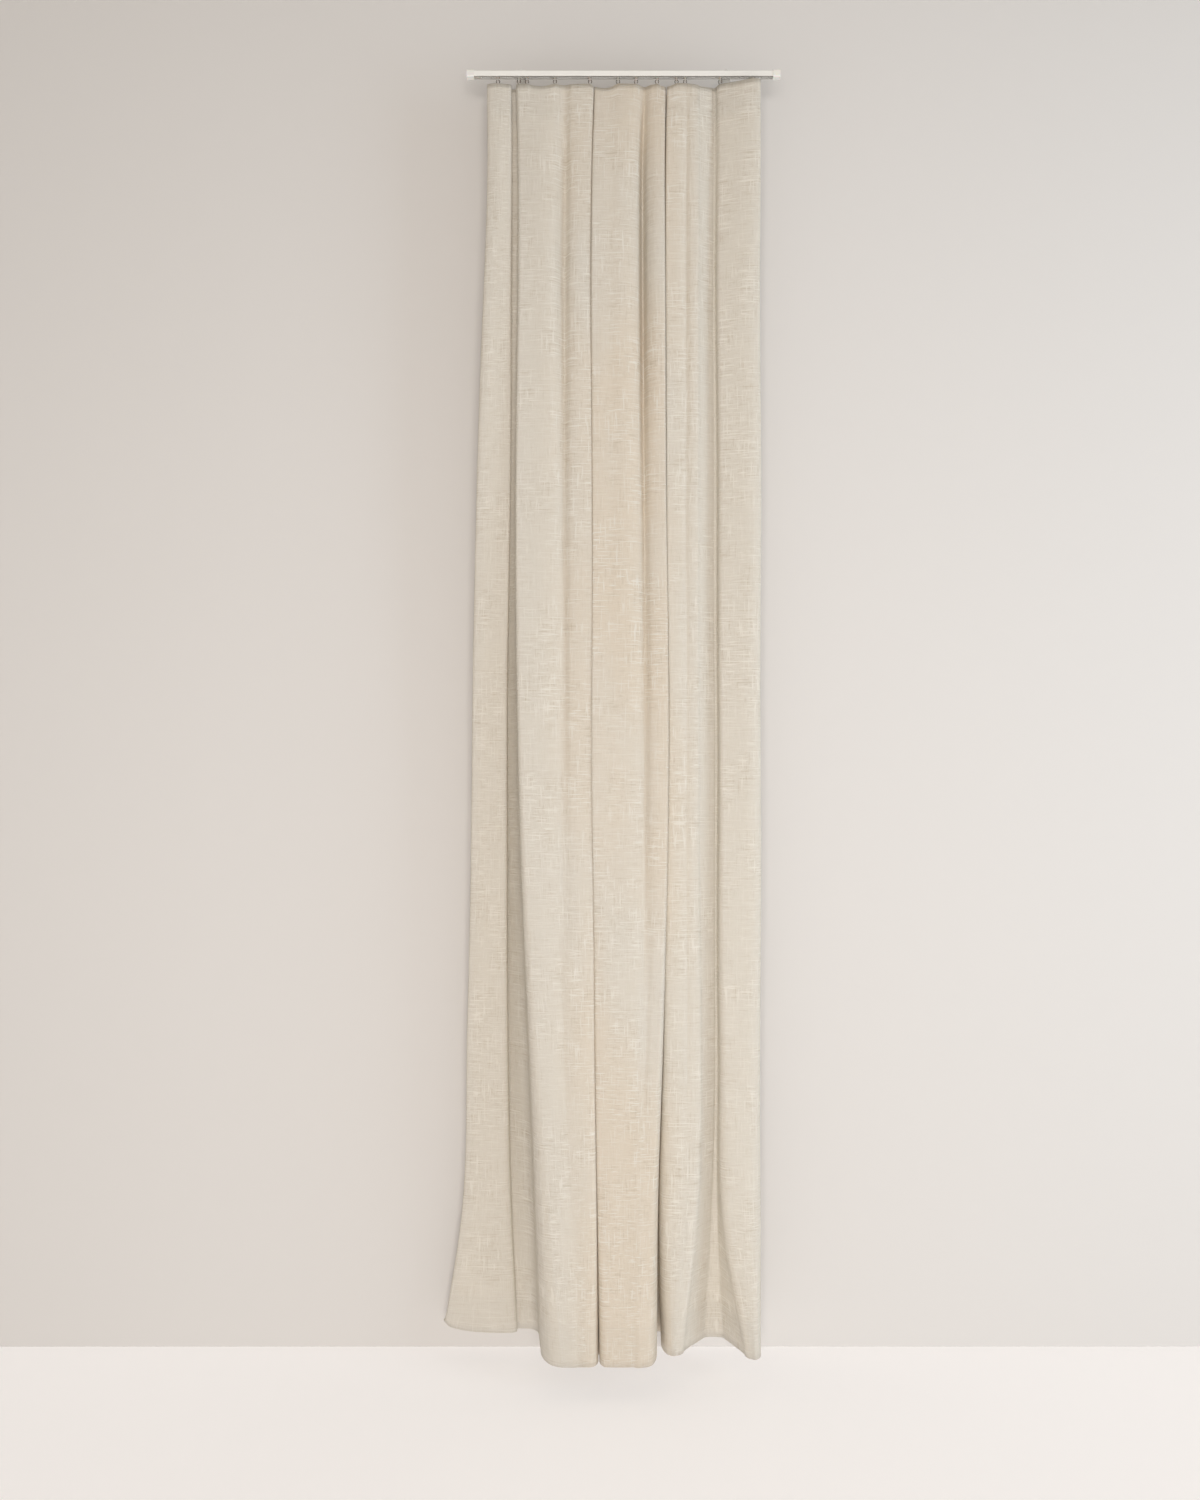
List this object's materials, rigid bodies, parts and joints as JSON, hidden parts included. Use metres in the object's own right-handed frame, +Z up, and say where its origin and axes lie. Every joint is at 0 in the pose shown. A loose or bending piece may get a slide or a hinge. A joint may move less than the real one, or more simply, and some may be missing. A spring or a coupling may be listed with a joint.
{
  "type": "room curtain panel",
  "caption": "Full-length linen curtain panel gathered into soft folds on wire hooks and gliders, on a short white wall-mounted rail.",
  "frame": {"origin": "on the wall, midway between the two brackets, at the middle height of their wall plates", "axes": "+X along the rail to the right as seen from the room, +Y into the wall, +Z up"},
  "size_m": [0.6476, 0.2119, 2.4786],
  "materials": {
    "rail_white": "satin warm-white powder coat",
    "cap_white": "moulded white plastic",
    "glider_white": "moulded white nylon",
    "hook_wire": "off-white plastic-coated wire",
    "bracket_steel": "white painted steel",
    "screw_zinc": "zinc plated",
    "curtain_linen": "natural slub linen, plain weave"
  },
  "bodies": {
    "rail_and_wall": {"rail": "rail_white", "end_cap_left": "cap_white", "end_cap_right": "cap_white", "end_stop_left": "glider_white", "end_stop_right": "glider_white", "set_screw_left": "screw_zinc", "set_screw_right": "screw_zinc", "wall_bracket_left": "bracket_steel", "wall_bracket_right": "bracket_steel", "wall_screw_left_upper": "screw_zinc", "wall_screw_left_lower": "screw_zinc", "wall_screw_right_upper": "screw_zinc", "wall_screw_right_lower": "screw_zinc", "hook_12": "hook_wire", "cloth_fold_12": "curtain_linen"},
    "clamp_left": {"clamp_lever_left": "bracket_steel"},
    "clamp_right": {"clamp_lever_right": "bracket_steel"},
    "lead_glider": {"glider_01": "glider_white", "hook_01": "hook_wire", "cloth_fold_01": "curtain_linen"},
    "glider_02": {"glider_02": "glider_white", "hook_02": "hook_wire", "cloth_fold_02": "curtain_linen"},
    "glider_03": {"glider_03": "glider_white", "hook_03": "hook_wire", "cloth_fold_03": "curtain_linen"},
    "glider_04": {"glider_04": "glider_white", "hook_04": "hook_wire", "cloth_fold_04": "curtain_linen"},
    "glider_05": {"glider_05": "glider_white", "hook_05": "hook_wire", "cloth_fold_05": "curtain_linen"},
    "glider_06": {"glider_06": "glider_white", "hook_06": "hook_wire", "cloth_fold_06": "curtain_linen"},
    "glider_07": {"glider_07": "glider_white", "hook_07": "hook_wire", "cloth_fold_07": "curtain_linen"},
    "glider_08": {"glider_08": "glider_white", "hook_08": "hook_wire", "cloth_fold_08": "curtain_linen"},
    "glider_09": {"glider_09": "glider_white", "hook_09": "hook_wire", "cloth_fold_09": "curtain_linen"},
    "glider_10": {"glider_10": "glider_white", "hook_10": "hook_wire", "cloth_fold_10": "curtain_linen"},
    "glider_11": {"glider_11": "glider_white", "hook_11": "hook_wire", "cloth_fold_11": "curtain_linen"}
  },
  "joints": [
    {"name": "clamp_left_turn", "type": "hinge", "parent": "rail_and_wall", "child": "clamp_left", "pos_m": [-0.2, -0.11, 0.026], "axis": [0, 0, 1], "range_deg": [0, 90]},
    {"name": "clamp_right_turn", "type": "hinge", "parent": "rail_and_wall", "child": "clamp_right", "pos_m": [0.2, -0.11, 0.026], "axis": [0, 0, -1], "range_deg": [0, 90]},
    {"name": "lead_glider_slide", "type": "slide", "parent": "rail_and_wall", "child": "lead_glider", "axis": [1, 0, 0], "range_m": [-0.029, 0.16]},
    {"name": "glider_02_slide", "type": "slide", "parent": "rail_and_wall", "child": "glider_02", "axis": [1, 0, 0], "range_m": [-0.02894, 0.15739]},
    {"name": "glider_03_slide", "type": "slide", "parent": "rail_and_wall", "child": "glider_03", "axis": [1, 0, 0], "range_m": [-0.02845, 0.15471]},
    {"name": "glider_04_slide", "type": "slide", "parent": "rail_and_wall", "child": "glider_04", "axis": [1, 0, 0], "range_m": [-0.02577, 0.13994]},
    {"name": "glider_05_slide", "type": "slide", "parent": "rail_and_wall", "child": "glider_05", "axis": [1, 0, 0], "range_m": [-0.02084, 0.11273]},
    {"name": "glider_06_slide", "type": "slide", "parent": "rail_and_wall", "child": "glider_06", "axis": [1, 0, 0], "range_m": [-0.0162, 0.08712]},
    {"name": "glider_07_slide", "type": "slide", "parent": "rail_and_wall", "child": "glider_07", "axis": [1, 0, 0], "range_m": [-0.01312, 0.0701]},
    {"name": "glider_08_slide", "type": "slide", "parent": "rail_and_wall", "child": "glider_08", "axis": [1, 0, 0], "range_m": [-0.00963, 0.0509]},
    {"name": "glider_09_slide", "type": "slide", "parent": "rail_and_wall", "child": "glider_09", "axis": [1, 0, 0], "range_m": [-0.00666, 0.03451]},
    {"name": "glider_10_slide", "type": "slide", "parent": "rail_and_wall", "child": "glider_10", "axis": [1, 0, 0], "range_m": [-0.00549, 0.02803]},
    {"name": "glider_11_slide", "type": "slide", "parent": "rail_and_wall", "child": "glider_11", "axis": [1, 0, 0], "range_m": [-0.00177, 0.00748]}
  ],
  "couplings": [
    {"joint": "glider_02_slide", "follows": "lead_glider_slide", "ratio": 0.98057},
    {"joint": "glider_03_slide", "follows": "lead_glider_slide", "ratio": 0.96383},
    {"joint": "glider_04_slide", "follows": "lead_glider_slide", "ratio": 0.8715},
    {"joint": "glider_05_slide", "follows": "lead_glider_slide", "ratio": 0.70144},
    {"joint": "glider_06_slide", "follows": "lead_glider_slide", "ratio": 0.54135},
    {"joint": "glider_07_slide", "follows": "lead_glider_slide", "ratio": 0.43503},
    {"joint": "glider_08_slide", "follows": "lead_glider_slide", "ratio": 0.31498},
    {"joint": "glider_09_slide", "follows": "lead_glider_slide", "ratio": 0.21258},
    {"joint": "glider_10_slide", "follows": "lead_glider_slide", "ratio": 0.17205},
    {"joint": "glider_11_slide", "follows": "lead_glider_slide", "ratio": 0.043637}
  ]
}
